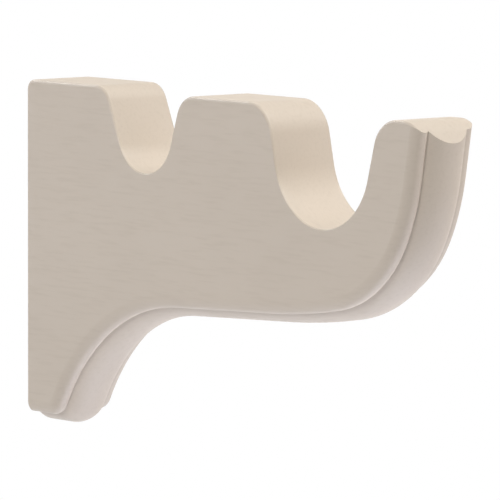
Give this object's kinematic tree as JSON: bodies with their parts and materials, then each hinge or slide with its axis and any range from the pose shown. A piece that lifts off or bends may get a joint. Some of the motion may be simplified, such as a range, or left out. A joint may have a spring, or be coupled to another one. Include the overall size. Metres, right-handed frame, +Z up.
{
  "type": "curtain pole bracket",
  "caption": "Painted wooden wall bracket with a small and a large open-topped cup for curtain poles, an upturned nose and a moulding routed along its lower edge.",
  "frame": {"origin": "on the wall face, in the middle of the board's thickness, half-way between the screw holes", "axes": "+X out from the wall, +Y across the board along the poles, +Z up"},
  "size_m": [0.2253, 0.0272, 0.1275],
  "materials": {
    "painted_wood": "satin putty-coloured paint"
  },
  "bodies": {
    "root": {"bracket": "painted_wood"}
  },
  "joints": []
}
